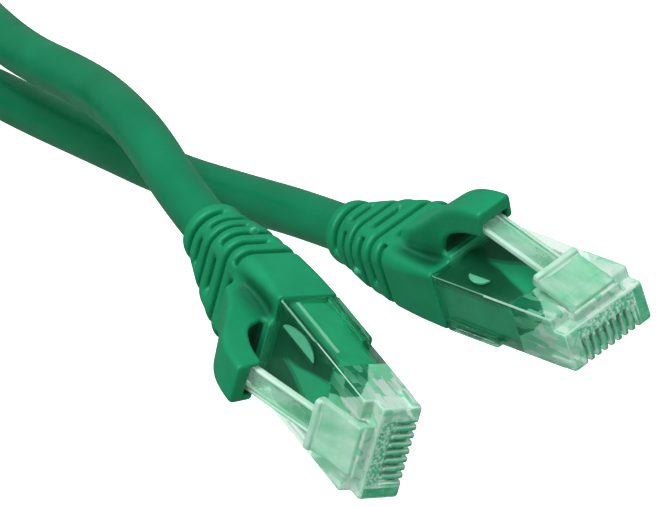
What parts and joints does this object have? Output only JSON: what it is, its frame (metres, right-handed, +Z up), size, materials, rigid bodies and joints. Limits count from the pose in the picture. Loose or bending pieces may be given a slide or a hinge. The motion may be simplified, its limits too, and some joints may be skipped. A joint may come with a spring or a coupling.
{
  "type": "ethernet patch cable",
  "caption": "Round green network patch lead with clear modular plugs, snagless boots with latch guards, and the rest of its length coiled under a tie.",
  "frame": {"origin": "centre of the flat underside of plug B, which lies on the floor", "axes": "+X the way plug B is pushed into its socket, +Y to plug B's left, +Z up from the floor"},
  "size_m": [0.2053, 0.0626, 0.0264],
  "materials": {
    "clear_body": "clear moulded polycarbonate, tinted by the green inside it",
    "boot_green": "soft satin moulded PVC",
    "jacket_green": "smooth semi-gloss PVC jacket",
    "insert_green": "satin, seen through the clear body",
    "load_bar": "clear",
    "contact_metal": "bright gold flash",
    "wire_pale": "smooth insulation",
    "wire_green": "smooth insulation",
    "tie": "black hook-and-loop band"
  },
  "bodies": {
    "lead": {"plug_a_housing": "clear_body", "plug_a_boot": "boot_green", "plug_a_insert": "insert_green", "plug_a_jacket_end": "jacket_green", "plug_a_load_bar": "load_bar", "plug_a_contact_1": "contact_metal", "plug_a_wire_1": "wire_pale", "plug_a_contact_2": "contact_metal", "plug_a_wire_2": "wire_green", "plug_a_contact_3": "contact_metal", "plug_a_wire_3": "wire_pale", "plug_a_contact_4": "contact_metal", "plug_a_wire_4": "wire_green", "plug_a_contact_5": "contact_metal", "plug_a_wire_5": "wire_pale", "plug_a_contact_6": "contact_metal", "plug_a_wire_6": "wire_green", "plug_a_contact_7": "contact_metal", "plug_a_wire_7": "wire_pale", "plug_a_contact_8": "contact_metal", "plug_a_wire_8": "wire_green", "plug_b_housing": "clear_body", "plug_b_boot": "boot_green", "plug_b_insert": "insert_green", "plug_b_jacket_end": "jacket_green", "plug_b_load_bar": "load_bar", "plug_b_contact_1": "contact_metal", "plug_b_wire_1": "wire_pale", "plug_b_contact_2": "contact_metal", "plug_b_wire_2": "wire_green", "plug_b_contact_3": "contact_metal", "plug_b_wire_3": "wire_pale", "plug_b_contact_4": "contact_metal", "plug_b_wire_4": "wire_green", "plug_b_contact_5": "contact_metal", "plug_b_wire_5": "wire_pale", "plug_b_contact_6": "contact_metal", "plug_b_wire_6": "wire_green", "plug_b_contact_7": "contact_metal", "plug_b_wire_7": "wire_pale", "plug_b_contact_8": "contact_metal", "plug_b_wire_8": "wire_green", "cable_a": "jacket_green", "cable_b": "jacket_green", "cable_coil": "jacket_green", "coil_tie": "tie"},
    "latch_a": {"plug_a_latch": "clear_body"},
    "guard_a": {"plug_a_guard": "boot_green"},
    "latch_b": {"plug_b_latch": "clear_body"},
    "guard_b": {"plug_b_guard": "boot_green"}
  },
  "joints": [
    {"name": "latch_a_press", "type": "hinge", "parent": "lead", "child": "latch_a", "pos_m": [0.01503, -0.0335, 0.00795], "axis": [-0.305, -0.3906, -0.8686], "range_deg": [0, 14], "stiffness_Nm_per_rad": 0.04},
    {"name": "guard_a_flex", "type": "hinge", "parent": "lead", "child": "guard_a", "pos_m": [-0.00922, -0.02812, 0.01405], "axis": [0.305, 0.3906, 0.8686], "range_deg": [0, 18.1], "stiffness_Nm_per_rad": 0.02},
    {"name": "latch_b_press", "type": "hinge", "parent": "lead", "child": "latch_b", "pos_m": [0.0165, 0, 0.00694], "axis": [0, -1, 0], "range_deg": [0, 14], "stiffness_Nm_per_rad": 0.04},
    {"name": "guard_b_flex", "type": "hinge", "parent": "lead", "child": "guard_b", "pos_m": [-0.009, 0, 0.00899], "axis": [0, 1, 0], "range_deg": [0, 18.1], "stiffness_Nm_per_rad": 0.02}
  ],
  "couplings": [
    {"joint": "guard_a_flex", "follows": "latch_a_press", "ratio": 1.2857},
    {"joint": "guard_b_flex", "follows": "latch_b_press", "ratio": 1.2857}
  ]
}
